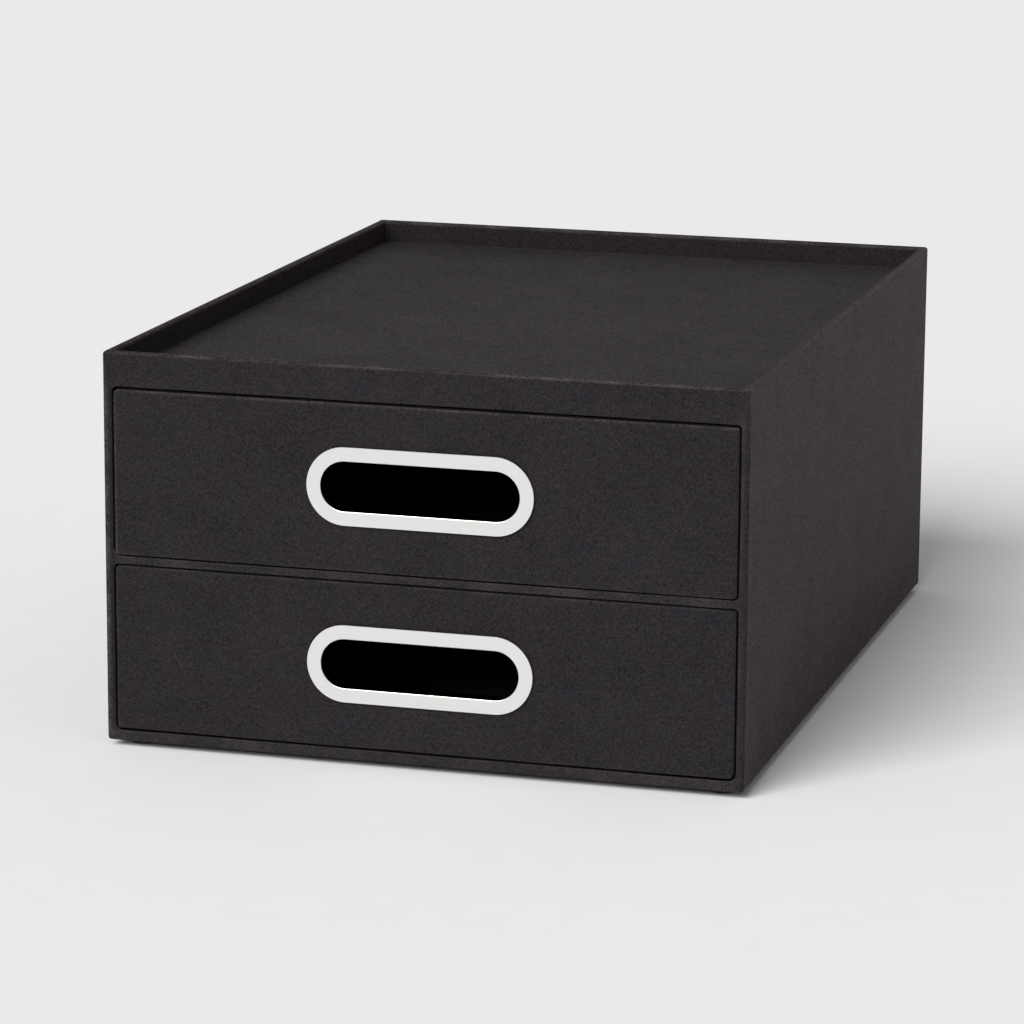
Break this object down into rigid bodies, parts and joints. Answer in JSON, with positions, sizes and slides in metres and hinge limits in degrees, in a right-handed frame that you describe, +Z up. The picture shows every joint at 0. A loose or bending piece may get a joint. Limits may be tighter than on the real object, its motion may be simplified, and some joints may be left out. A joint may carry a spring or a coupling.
{
  "type": "drawer organizer",
  "caption": "Desktop drawer organizer covered in charcoal bookcloth, with a shallow open tray on top and stacked pull-out drawers with metal-rimmed finger slots.",
  "frame": {"origin": "centre of the footprint, on the surface that the feet stand on", "axes": "+Z up, -Y towards the drawer fronts, +X to the right as seen from the front"},
  "size_m": [0.241, 0.3314, 0.1484],
  "materials": {
    "bookcloth": "fine linen bookcloth, charcoal black, matte",
    "grey_board": "bare grey board, hidden under its covers",
    "lining_paper": "black uncoated paper",
    "handle_metal": "brushed face with polished bevels",
    "foot_rubber": "matte black moulded rubber"
  },
  "bodies": {
    "case": {"case_left_board": "grey_board", "case_right_board": "grey_board", "case_back_board": "grey_board", "case_base_board": "grey_board", "case_shelf_board": "grey_board", "case_top_board": "grey_board", "case_front_rail_board": "grey_board", "case_front_cover": "bookcloth", "case_outer_cover": "bookcloth", "tray_floor_cover": "bookcloth", "case_base_sheet": "lining_paper", "upper_bay_lining": "lining_paper", "lower_bay_lining": "lining_paper", "foot_front_left": "foot_rubber", "foot_front_right": "foot_rubber", "foot_back_left": "foot_rubber", "foot_back_right": "foot_rubber"},
    "upper_drawer": {"upper_front_board": "grey_board", "upper_left_wall_board": "grey_board", "upper_right_wall_board": "grey_board", "upper_back_wall_board": "grey_board", "upper_floor_board": "grey_board", "upper_front_cover": "bookcloth", "upper_wall_cover": "bookcloth", "upper_drawer_lining": "lining_paper", "upper_drawer_base_sheet": "lining_paper", "upper_handle_plate": "handle_metal", "upper_handle_back_ring": "handle_metal"},
    "lower_drawer": {"lower_front_board": "grey_board", "lower_left_wall_board": "grey_board", "lower_right_wall_board": "grey_board", "lower_back_wall_board": "grey_board", "lower_floor_board": "grey_board", "lower_front_cover": "bookcloth", "lower_wall_cover": "bookcloth", "lower_drawer_lining": "lining_paper", "lower_drawer_base_sheet": "lining_paper", "lower_handle_plate": "handle_metal", "lower_handle_back_ring": "handle_metal"}
  },
  "joints": [
    {"name": "upper_drawer_slide", "type": "slide", "parent": "case", "child": "upper_drawer", "axis": [0, -1, 0], "range_m": [0, 0.26]},
    {"name": "lower_drawer_slide", "type": "slide", "parent": "case", "child": "lower_drawer", "axis": [0, -1, 0], "range_m": [0, 0.26]}
  ]
}
